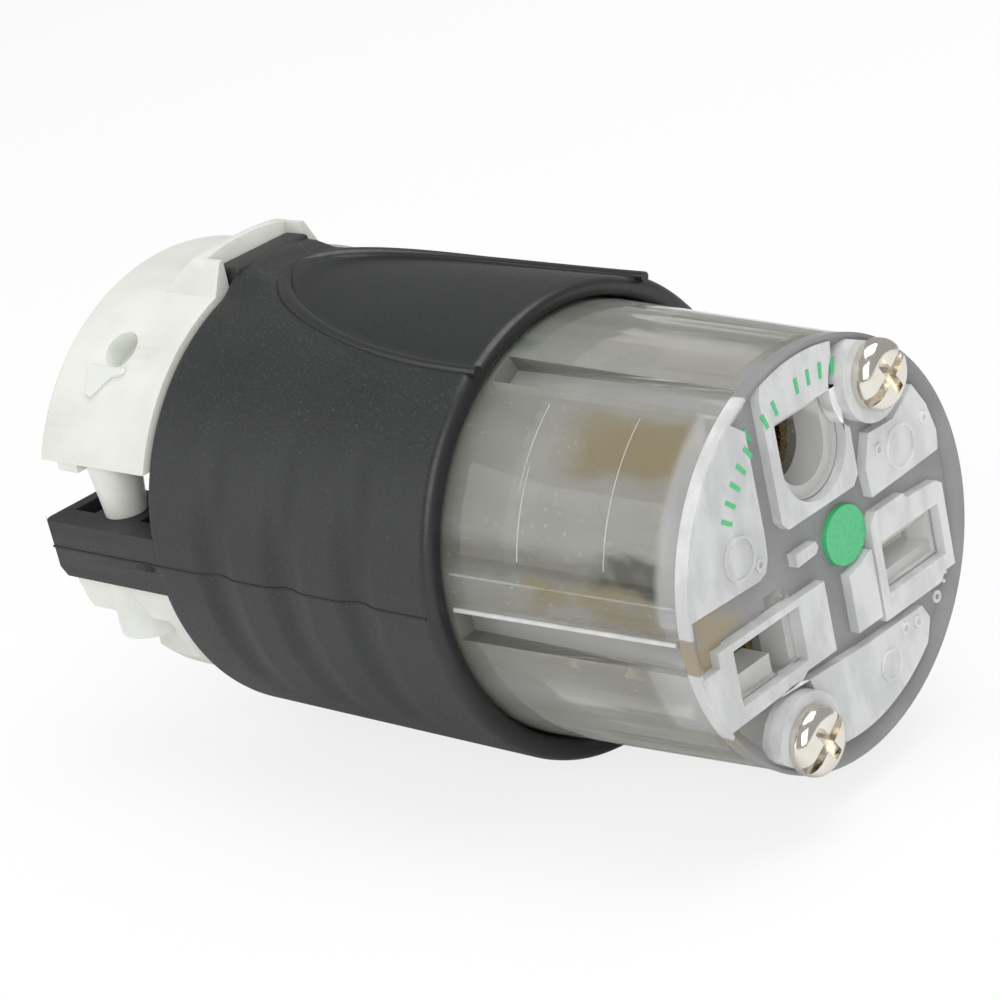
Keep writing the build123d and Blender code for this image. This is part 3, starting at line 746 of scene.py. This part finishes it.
@dataclass
class Face:
    """The clear front body: its cup with grooves, and on the face raised pads round the openings."""

    floor: float = -0.82
    sunk: float = -1.1
    pad_r: float = 15.7
    screw_ring: float = 13.4
    screw_angle: float = 31.0
    collar_r: float = 3.6
    collar_hole: float = 1.95
    collar_top: float = 0.9
    ground_z: float = 8.3
    funnel_r: float = 3.58
    slot_z: float = -3.6
    mark_r: tuple[float, float] = (12.7, 14.0)
    mark_angles: tuple[float, float] = (55.3, -20.5)
    dot: tuple[float, float, float] = (2.3, 0.5, 2.3)
    mark_count: int = 14
    mark_gap: int = 8
    rim_r: float = 16.22
    side_r: float = 16.12

    def cup(
        self, clear: bpy.types.Material, grey: bpy.types.Material, pale: bpy.types.Material, band: bpy.types.Material
    ) -> None:
        """The cup with its face cut flat at the floor of the channels.

        Args:
            clear: Finish of its side.
            grey: Finish of the floor between the pads.
            pale: Finish inside the openings.
            band: Finish of the grooves' floors.
        """
        grid = merged_copy("front_body")
        cut = bmesh.ops.bisect_plane(
            grid, geom=grid.verts[:] + grid.edges[:] + grid.faces[:], dist=1e-8,
            plane_co=(self.floor * MM, 0, 0), plane_no=(1, 0, 0), clear_outer=True,
        )["geom_cut"]
        rims = [item for item in cut if isinstance(item, bmesh.types.BMEdge) and item.is_valid]
        bmesh.ops.triangle_fill(grid, use_beauty=True, use_dissolve=False, edges=rims, normal=(1, 0, 0))
        grid.normal_update()
        for face in grid.faces:
            middle = face.calc_center_median() / MM
            reach = math.hypot(middle.y, middle.z)
            level = face.normal.x > 0.9 and middle.x > self.floor - 0.1
            throat = middle.x > -3.9 and reach < 13.6 and not level
            groove = -22.6 < middle.x < -0.9 and 14.6 < reach < 15.8 and abs(face.normal.x) < 0.2
            face.material_index = 1 if level else 2 if throat else 3 if groove else 0
        piece = new_piece("front_body_cup", grid, [clear, grey, pale, band], "clear_body")
        smooth(piece)
        soften(piece, 0.15)
        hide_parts("front_body")

    def outlines(self) -> list[list[list[Point]]]:
        """Outline and holes of every raised pad, as points (y, z)."""
        screw = (
            self.screw_ring * math.sin(math.radians(self.screw_angle)),
            self.screw_ring * math.cos(math.radians(self.screw_angle)),
        )
        low_screw = (-screw[0], -screw[1])
        left = arc(self.rim_r - 0.12, 31, 83, 26) + [(-8.2, 1.7), (-7.4, 2.0), (-6.95, 2.9), (-6.8, 4.5), (-6.8, 12.6)]
        ground = (
            [(-4.8, 4.6), (-4.2, 3.9), (3.6, 3.9), (4.3, 4.6), (4.3, 8.3)]
            + arc(4.2, 126, 52, 8, screw) + arc(self.pad_r, -14, 16.5, 12) + [(-4.8, 14.3)]
        )
        funnel = arc(self.funnel_r + 0.15, 90, 270, 24, (0.0, self.ground_z)) + [(3.73, 11.9), (-3.73, 11.9)]
        upper = [(6.2, 7.0), (9.2, 6.9), (12.0, 8.5), (13.3, 6.4), (14.0, 4.0), (13.8, 2.5), (9.0, 2.3), (5.4, 2.2), (5.2, 4.6)]
        straight = [(4.6, -7.6), (11.6, -7.6), (12.2, -6.9), (13.6, -6.9), (13.6, -0.2), (12.9, 0.3), (9.3, 0.5), (8.9, 1.0), (5.4, 1.0), (4.6, 0.2)]
        straight_hole = [(5.5, -5.7), (12.7, -5.7), (12.7, -1.5), (5.5, -1.5)]
        block = [(1.3, -7.0), (4.3, -7.0), (4.3, -1.5), (3.9, -1.5), (3.0, -2.0), (1.3, -2.3)]
        tee = (
            [(-1.5, -7.0), (-1.5, -1.4), (-13.9, -1.3), (-13.9, -2.5)] + arc(self.rim_r - 0.12, 99, 118, 8)
            + [(-5.6, -7.4), (-5.0, -7.0)]
        )
        tee_hole = [(-12.3, -6.3), (-4.7, -6.3), (-4.7, -1.9), (-12.3, -1.9)]
        lower = (
            [(2.2, -8.2), (8.9, -8.3), (9.6, -9.6)] + arc(14.4, 218, 168, 16) + arc(4.2, 20, -28, 5, low_screw)[::-1]
        )
        finger = [(-4.0, 0.8), (-1.8, 0.9), (-1.4, 1.3), (-1.6, 1.8), (-4.0, 1.8)]
        return [
            [left], [ground, funnel], [upper], [straight, straight_hole], [block], [tee, tee_hole], [lower], [finger]
        ]

    def pads(self, frosted: bpy.types.Material) -> None:
        """The raised pads and the two collars under the screw heads."""
        grids = [slab(loops, self.sunk, 0.0) for loops in self.outlines()]
        for side in (1, -1):
            centre = (
                side * self.screw_ring * math.sin(math.radians(self.screw_angle)),
                side * self.screw_ring * math.cos(math.radians(self.screw_angle)),
            )
            rim = []
            for y, z in arc(self.collar_r, 0, 350, 35, centre):
                share = min(1.0, self.pad_r / math.hypot(y, z))
                rim.append((y * share, z * share))
            grids.append(slab([rim, arc(self.collar_hole, 0, 345, 23, centre)], self.sunk, self.collar_top))
        piece = new_piece("face_pads", gather(grids), [frosted], "clear_body")
        smooth(piece)
        soften(piece, 0.16, 3)

    def rings(self, frosted: bpy.types.Material) -> None:
        """Plain raised rings and dots in the places of the moulded marks."""
        grids = []
        for centre, radius, level in (((9.5, 4.6), 1.75, 0.0), ((4.2, -11.0), 1.25, 0.0), ((-9.9, 4.2), 1.7, 0.0)):
            grids.append(slab([arc(radius, 0, 350, 35, centre), arc(radius - 0.22, 0, 350, 35, centre)], level - 0.1, level + 0.2))
        for y, z, level in ((12.6, 5.6, 0.0), (6.9, 5.4, 0.0), (6.4, -9.0, 0.0), (8.0, -9.2, 0.0), (-8.0, 2.9, 0.0),
                            (11.6, -8.9, self.floor), (12.9, -7.8, self.floor), (-0.6, -8.6, self.floor), (0.9, -8.9, self.floor)):
            grids.append(slab([arc(0.5, 0, 340, 17, (y, z)), arc(0.24, 0, 340, 17, (y, z))], level - 0.1, level + 0.2))
        piece = new_piece("face_rings", gather(grids), [frosted], "clear_body")
        smooth(piece)

    def marks(self, green: bpy.types.Material) -> None:
        """Plain green bars in the places of the printed letters."""
        grids = []
        for number in range(self.mark_count):
            if number == self.mark_gap:
                continue
            share = number / (self.mark_count - 1)
            angle = self.mark_angles[0] + share * (self.mark_angles[1] - self.mark_angles[0])
            radius = self.mark_r[0] + share * (self.mark_r[1] - self.mark_r[0])
            level = self.floor if -6.8 < -radius * math.sin(math.radians(angle)) < -4.8 else 0.0
            half = math.degrees(0.17 / radius)
            inner = arc(radius - 0.6, angle - half, angle + half, 2)
            outer = arc(radius + 0.6, angle + half, angle - half, 2)
            grids.append(slab([inner + outer], level - 0.05, level + 0.05))
        piece = new_piece("face_marks", gather(grids), [green], "green_insert")
        smooth(piece)

    def disc(self, green: bpy.types.Material) -> None:
        """The green dot, let nearly flush into the floor between the pads."""
        y, z, radius = self.dot
        piece = new_piece("green_disc", slab([arc(radius, 0, 355, 71, (y, z))], self.sunk, -0.42), [green], "green_insert")
        smooth(piece)
        soften(piece, 0.08)
        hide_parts("green_dot")

    def rim(self, grey: bpy.types.Material, frosted: bpy.types.Material) -> None:
        """The band of the face outside the pads, which rises to the rim."""
        low, high, back = self.floor - 0.15, -0.05, -1.3
        points = [(low, 15.0), (self.floor + 0.03, 15.0), (high, self.rim_r - 0.3), (high, self.rim_r), (back, self.side_r)]
        grid = spin(profile(points), 144)
        for face in grid.faces:
            middle = face.calc_center_median()
            angle = math.degrees(math.atan2(-middle.y, middle.z))
            face.material_index = int(22 < angle < 87 or 98 < angle < 119)
        piece = new_piece("face_rim", grid, [grey, frosted], "clear_body")
        smooth(piece)
        soften(piece, 0.06)

    def scribes(self, frosted: bpy.types.Material) -> None:
        """Thin bright arcs and ribs that stand on the cup's side."""
        grids = []
        for x, start, end in ((16.2, 33, 56), (15.8, 50, 74), (7.7, 33, 73)):
            radius = 16.1 + 0.9 * min(1.0, (x - 1.3) / 21.7) - 0.01
            angles = [start + (end - start) * step / 24 for step in range(25)]
            grids.append(tube([round_place(x, radius, angle) for angle in angles], [0.035] * 25))
        for angle, width in ((80.0, 0.09), (89.6, 0.22)):
            path = [round_place(x, 16.1 + 0.9 * min(1.0, (x - 1.3) / 21.7) - 0.1, angle) for x in (1.6, 8.0, 15.0, 22.6)]
            grids.append(tube(path, [width] * 4))
        piece = new_piece("body_scribes", gather(grids), [frosted], "clear_body")
        smooth(piece)


@dataclass
class Shell:
    """The black shell: barrel with finger grips, oval panel, wings and key."""

    radius: float = 19.1
    bore: float = 17.25
    cavity: float = 16.2
    cord_hole: float = 9.0
    front: float = 22.7
    rear: float = 54.6
    shoulder: float = 34.0
    rear_wall: float = 2.2
    grip_first: float = 31.0
    grip_pitch: float = 8.0
    grip_half: float = 2.5
    grip_depth: float = 0.5
    grip_shift: float = 2.1
    panel_start: float = 24.0
    panel_len: float = 27.0
    panel_half: float = 9.7
    panel_depth: float = 0.35
    key_start: float = 47.5
    key_rise: float = 1.0

    def surface(self, x: float, angle: float) -> float:
        """Radial offset of the outer face.

        Args:
            x: Distance from the face plane, positive to the rear.
            angle: Angle from the top towards the tee side, in radians.

        Returns:
            The offset in millimetres.
        """
        offset = 0.0
        depth = max(0.0, self.grip_depth - self.grip_shift * (1 - abs(math.sin(angle))))
        for row in range(3):
            along = (x - self.grip_first - row * self.grip_pitch) / self.grip_half
            if abs(along) < 1:
                offset -= depth * math.cos(along * math.pi / 2) ** 2
        if math.cos(angle) > 0:
            side = abs(self.radius * math.sin(angle))
            ramp = min(1.0, max(0.0, (x - self.key_start) / 5.5)) * min(1.0, max(0.0, (6.0 - side) / 2.6))
            offset += self.key_rise * ramp**2 * (3 - 2 * ramp)
            inside = self.panel_reach(x, self.radius * math.sin(angle))
            offset -= self.panel_depth * min(1.0, max(0.0, inside / 0.6))
        return offset

    def panel_reach(self, x: float, y: float) -> float:
        """About how far a point lies inside the panel's edge, in millimetres."""
        along = max(0.0, x - self.panel_start) / self.panel_len
        return self.panel_half * (1 - math.hypot(along, y / self.panel_half))

    def build(
        self, black: bpy.types.Material, smooth_black: bpy.types.Material, shaded_panel: bpy.types.Material
    ) -> None:
        """Builds the barrel, with its rim smoother than the rest and its panel painted darker as shade on the shell's
        top, with a finer, shallower grain.
        """
        outline = profile(
            [
                (-self.front, self.radius), (-self.rear, self.radius), (-self.rear, self.cord_hole),
                (-self.rear + self.rear_wall, self.cord_hole), (-self.rear + self.rear_wall, self.cavity),
                (-self.shoulder, self.cavity), (-self.shoulder, self.bore), (-self.front, self.bore),
            ]
        )
        grid = outline
        grid.verts.ensure_lookup_table()
        outer = [e for e in grid.edges if all(abs(v.co.z - self.radius * MM) < 1e-7 for v in e.verts)]
        corners = {
            (-self.front, self.radius): 0.9,
            (-self.rear, self.radius): 0.8,
            (-self.front, self.bore): 0.6,
        }
        for (x, r), width in corners.items():
            verts = [v for v in grid.verts if (v.co - Vector((x * MM, 0, r * MM))).length < 1e-7]
            bmesh.ops.bevel(
                grid, geom=verts, offset=width * MM, offset_type="OFFSET", segments=5, profile=0.5,
                affect="VERTICES", material=-1,
            )
        outer = max(
            (e for e in grid.edges if all(abs(v.co.z - self.radius * MM) < 1e-7 for v in e.verts)),
            key=lambda e: e.calc_length(),
        )
        bmesh.ops.subdivide_edges(grid, edges=[outer], cuts=110, use_grid_fill=False)
        spin(grid, 360)
        for vert in grid.verts:
            radius = math.hypot(vert.co.y, vert.co.z)
            if radius > (self.radius - 1.0) * MM:
                angle = math.atan2(-vert.co.y, vert.co.z)
                share = min(1.0, (radius / MM - self.radius + 1.0))
                grown = radius + share * self.surface(-vert.co.x / MM, angle) * MM
                vert.co.y *= grown / radius
                vert.co.z *= grown / radius
        for face in grid.faces:
            middle = face.calc_center_median() / MM
            rim = middle.x > -self.front - 0.75
            panel = middle.z > 0 and math.hypot(middle.y, middle.z) > 18 and self.panel_reach(-middle.x, middle.y) > 0.3
            face.material_index = 1 if rim else 2 if panel else 0
        piece = new_piece("shell_barrel", grid, [black, smooth_black, shaded_panel], "black_nylon")
        smooth(piece, 40)
        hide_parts("shell")

    def wings(self, black: bpy.types.Material) -> None:
        """The two wings with their pockets, cut from the CAD shell behind the barrel."""
        grid = merged_copy("shell")
        bmesh.ops.bisect_plane(
            grid, geom=grid.verts[:] + grid.edges[:] + grid.faces[:], dist=1e-8,
            plane_co=(-(self.rear + 0.05) * MM, 0, 0), plane_no=(1, 0, 0), clear_outer=True,
        )
        high = [vert for vert in grid.verts if vert.co.z > 4 * MM]
        bmesh.ops.delete(grid, geom=high, context="VERTS")
        rims = [edge for edge in grid.edges if edge.is_boundary]
        ends = bmesh.ops.triangle_fill(grid, use_beauty=True, use_dissolve=False, edges=rims, normal=(1, 0, 0))
        ends = [item for item in ends["geom"] if isinstance(item, bmesh.types.BMFace)]
        grown = bmesh.ops.extrude_face_region(grid, geom=ends)["geom"]
        bmesh.ops.translate(
            grid, verts=[item for item in grown if isinstance(item, bmesh.types.BMVert)], vec=(1.0 * MM, 0, 0)
        )
        low_end = [v for v in grid.verts if v.co.x < -66.8 * MM and v.co.z < -2.4 * MM]
        bmesh.ops.translate(grid, verts=low_end, vec=(0.8 * MM, 0, 0))
        bmesh.ops.recalc_face_normals(grid, faces=grid.faces[:])
        piece = new_piece("shell_wings", grid, [black], "black_nylon")
        smooth(piece)
        soften(piece, 0.14, 2, 50)

    def key(self, black: bpy.types.Material) -> None:
        """The key on top that locks into the upper jaw."""
        grid = bmesh.new()
        verts = [
            grid.verts.new((x * MM, -4.2 * MM, z * MM))
            for x, z in ((-56.4, 17.2), (-56.4, 20.1), (-53.6, 20.1), (-53.6, 17.2))
        ]
        grid.faces.new(verts)
        raised = bmesh.ops.extrude_face_region(grid, geom=grid.faces[:])["geom"]
        bmesh.ops.translate(grid, verts=[v for v in raised if isinstance(v, bmesh.types.BMVert)], vec=(0, 8.4 * MM, 0))
        bmesh.ops.recalc_face_normals(grid, faces=grid.faces[:])
        piece = new_piece("shell_key", grid, [black], "black_nylon")
        smooth(piece)
        soften(piece, 0.4, 3)

    def bead(self, smooth_black: bpy.types.Material) -> None:
        """The raised bead round the oval panel, wide at the rear and thin at the rim."""
        path, radii = [], []
        for step in range(97):
            turn = math.pi * step / 96
            x = self.panel_start + (self.panel_len - 0.2) * math.sin(turn)
            y = self.panel_half * math.cos(turn)
            if step in (0, 96):
                x = self.front - 0.4
            wide = 0.42 + 0.40 * max(0.0, (x - 38) / 13)
            radius = self.radius - wide * 0.30
            path.append((-x, -y, math.sqrt(radius**2 - y**2)))
            radii.append(wide)
        piece = new_piece("panel_bead", tube(path, radii), [smooth_black], "black_nylon")
        smooth(piece, 60)

    def parting(self, dark: bpy.types.Material) -> None:
        """The thin parting line on both sides, which dips with the finger grips."""
        grids = []
        for side in Side:
            path = []
            for step in range(181):
                x = self.front + 0.8 + (67.4 - self.front - 0.8) * step / 180
                radius = self.radius + (self.surface(x, math.pi / 2) if x < self.rear else 0.0)
                path.append((-x, side.value * (radius - 0.03), 0.2))
            grids.append(tube(path, [0.11] * len(path)))
        piece = new_piece("parting_lines", gather(grids), [dark], "black_nylon")
        smooth(piece, 60)


@dataclass
class Clamp:
    """Small moulded reliefs on the upper jaw."""

    radius: float = 19.3
    angle: float = 46.0

    def reliefs(self, milky: bpy.types.Material) -> None:
        """A shallow V under each relief hole."""
        grids = []
        for side in Side:
            grid = bmesh.new()
            verts = [
                grid.verts.new((x * MM, side.value * y * MM, (self.radius - 0.2) * MM))
                for x, y in ((-64.2, -1.3), (-59.6, -1.3), (-59.6, -0.8), (-61.0, -0.4), (-62.6, 1.5), (-63.4, 1.3))
            ]
            grid.faces.new(verts)
            raised = bmesh.ops.extrude_face_region(grid, geom=grid.faces[:])["geom"]
            bmesh.ops.translate(
                grid, verts=[item for item in raised if isinstance(item, bmesh.types.BMVert)], vec=(0, 0, 0.46 * MM)
            )
            turn = Matrix.Rotation(-side.value * math.radians(self.angle), 3, "X")
            bmesh.ops.rotate(grid, verts=grid.verts[:], cent=(0, 0, 0), matrix=turn)
            bmesh.ops.recalc_face_normals(grid, faces=grid.faces[:])
            grids.append(grid)
        piece = new_piece("jaw_reliefs", gather(grids), [milky], "white_nylon")
        smooth(piece)
        soften(piece, 0.15, 3)


@dataclass
class Studio:
    """Floor, soft lamps, world and the camera of the photograph."""

    eye: tuple[float, float, float] = (140.891, -160.843, 93.370)
    right: tuple[float, float, float] = (0.72037, 0.66297, -0.20381)
    down: tuple[float, float, float] = (0.11374, -0.40278, -0.90820)
    forward: tuple[float, float, float] = (-0.68420, 0.63106, -0.36555)
    lens: float = 115.2
    floor_z: float = -19.12
    floor_share: float = 0.8
    world_light: float = 0.42

    def camera(self) -> None:
        """Places the camera at the photograph's viewpoint."""
        data = bpy.data.cameras.new("photo_view")
        data.lens = self.lens
        data.sensor_width = 36.0
        data.clip_start = 0.01
        data.clip_end = 10.0
        view = bpy.data.objects.new("photo_view", data)
        right, up, back = Vector(self.right), -Vector(self.down), -Vector(self.forward)
        turn = Matrix((right, up, back)).transposed()
        view.matrix_world = Matrix.Translation(Vector(self.eye) * MM) @ turn.to_4x4()
        bpy.context.scene.collection.objects.link(view)
        bpy.context.scene.camera = view

    def floor(self) -> None:
        """A pale floor that reads white to the camera and keeps a soft shadow."""
        grid = bmesh.new()
        bmesh.ops.create_grid(grid, x_segments=1, y_segments=1, size=3.0)
        bmesh.ops.translate(grid, verts=grid.verts, vec=(0, 0, self.floor_z * MM))
        mesh = bpy.data.meshes.new("floor")
        grid.to_mesh(mesh)
        grid.free()
        floor = bpy.data.objects.new("floor", mesh)
        bpy.context.scene.collection.objects.link(floor)
        shader = Shader("studio_floor")
        diffuse = shader.node("BsdfDiffuse", sockets={"Color": (0.9, 0.9, 0.9, 1.0)})
        glow = shader.node("Emission", sockets={"Color": (1, 1, 1, 1), "Strength": 1.0})
        mix = shader.node("MixShader", sockets={0: shader.seen() * self.floor_share, 1: diffuse, 2: glow})
        shader.out("OutputMaterial", mix)
        mesh.materials.append(shader.material)

    def world(self) -> None:
        """Pale world: white to the camera, softer as light."""
        world = bpy.data.worlds.new("studio")
        bpy.context.scene.world = world
        world.use_nodes = True
        graph = Graph(world.node_tree)
        light = graph.node("Background", sockets={"Color": (0.985, 0.99, 1.0, 1.0), "Strength": self.world_light})
        white = graph.node("Background", sockets={"Color": (1, 1, 1, 1), "Strength": 1.0})
        graph.out("OutputWorld", graph.node("MixShader", sockets={0: graph.seen(), 1: light, 2: white}))

    def lamp(self, name: str, place: Sequence[float], size: float, power: float) -> None:
        """One square soft lamp that looks at the connector.

        Args:
            name: The lamp's name.
            place: Its place in metres.
            size: Its side in metres.
            power: Its power in watts.
        """
        data = bpy.data.lights.new(name, "AREA")
        data.size = size
        data.energy = power
        lamp = bpy.data.objects.new(name, data)
        lamp.location = place
        lamp.rotation_euler = (Vector((-0.03, 0, 0)) - Vector(place)).to_track_quat("-Z", "Y").to_euler()
        bpy.context.scene.collection.objects.link(lamp)

    def build(self) -> None:
        """Builds the whole studio."""
        self.camera()
        self.floor()
        self.world()
        self.lamp("key", (0.05, 0.10, 0.60), 0.5, 2.5)
        self.lamp("fill", (0.45, -0.45, 0.30), 0.5, 2.0)
        self.lamp("side", (-0.35, -0.50, 0.20), 0.4, 1.0)
        bpy.context.scene.view_settings.view_transform = "Standard"


def dress(node: str, material: bpy.types.Material) -> None:
    """Gives a CAD node a finish.

    Args:
        node: The CAD node.
        material: Its material.
    """
    piece = frame["nodes"][node]
    piece.data.materials.clear()
    piece.data.materials.append(material)
    log.info("%s: finished with %s", node, material.name)


def main() -> None:
    """Builds the pieces in order."""
    logging.basicConfig(level=logging.INFO)
    black = GrainedNylon().material()
    milky = MilkyNylon().material()
    clear = TintedClear().material()
    inner = ClearPlastic("clear_carrier", (0.72, 0.72, 0.69), (0.6, 0.6, 0.56), 0.7, 0.2, 0.01).material()
    grey = FloorClear().material()
    frosted = PadClear().material()
    pale = ClearPlastic("clear_throats", (0.86, 0.86, 0.85), (0.74, 0.74, 0.72), 0.4, 0.12, 0.02).material()
    band = ClearPlastic("clear_grooves", (0.58, 0.58, 0.57), (0.46, 0.46, 0.45), 0.5, 0.08, 0.02).material()
    # The panel's darker colour is painted shade on the shell's top; its grain is finer and shallower.
    shaded_panel = GrainedNylon("black_nylon_panel", (0.012, 0.013, 0.013), (0.045, 0.047, 0.047), 0.2, 0.03).material()
    smooth_black = SmoothBlack().material()
    dark = SmoothBlack("parting_dark", (0.006, 0.006, 0.006), 0.5).material()
    brass = Metal("brass", (0.78, 0.60, 0.30), 0.22).material()
    nickel = Metal("nickel", (0.80, 0.76, 0.69), 0.08, (0.5, 0.45, 0.38)).material()
    steel = Metal("zinc_steel", (0.66, 0.66, 0.65), 0.28).material()
    green = Ink().material()
    green_metal = Metal("green_screw", (0.10, 0.42, 0.16), 0.3).material()
    finishes = {
        "front_body": clear, "green_dot": green, "contact_carrier": inner,
        "ground_contact": brass, "straight_slot_contact": brass, "tee_slot_contact": brass,
        "ground_clamp_plate": steel, "straight_slot_clamp_plate": steel, "tee_slot_clamp_plate": steel,
        "ground_terminal_screw": green_metal, "straight_slot_terminal_screw": brass,
        "tee_slot_terminal_screw": brass, "face_screws": nickel, "threaded_inserts": brass,
        "upper_jaw": milky, "lower_jaw": milky, "clamp_screws": steel, "shell": black,
    }
    for node, material in finishes.items():
        dress(node, material)
    for node in ("contact_carrier", "upper_jaw", "lower_jaw", "face_screws"):
        piece = new_piece(node + "_moulded", merged_copy(node), [finishes[node]], slot_of(node))
        smooth(piece)
        soften(piece, 0.12)
        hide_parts(node)
    face = Face()
    face.cup(clear, grey, pale, band)
    face.disc(green)
    face.pads(frosted)
    face.rings(frosted)
    face.rim(grey, frosted)
    face.marks(green)
    face.scribes(frosted)
    shell = Shell()
    shell.build(black, smooth_black, shaded_panel)
    shell.wings(black)
    shell.key(black)
    shell.bead(smooth_black)
    shell.parting(dark)
    Clamp().reliefs(milky)
    Studio().build()


def slot_of(node: str) -> str:
    """The record's material slot of a CAD node."""
    for row in frame["record"]["subparts"]:
        if row["node"] == node:
            return row["material_slot"]
    return ""


if __name__ == "__main__":
    main()
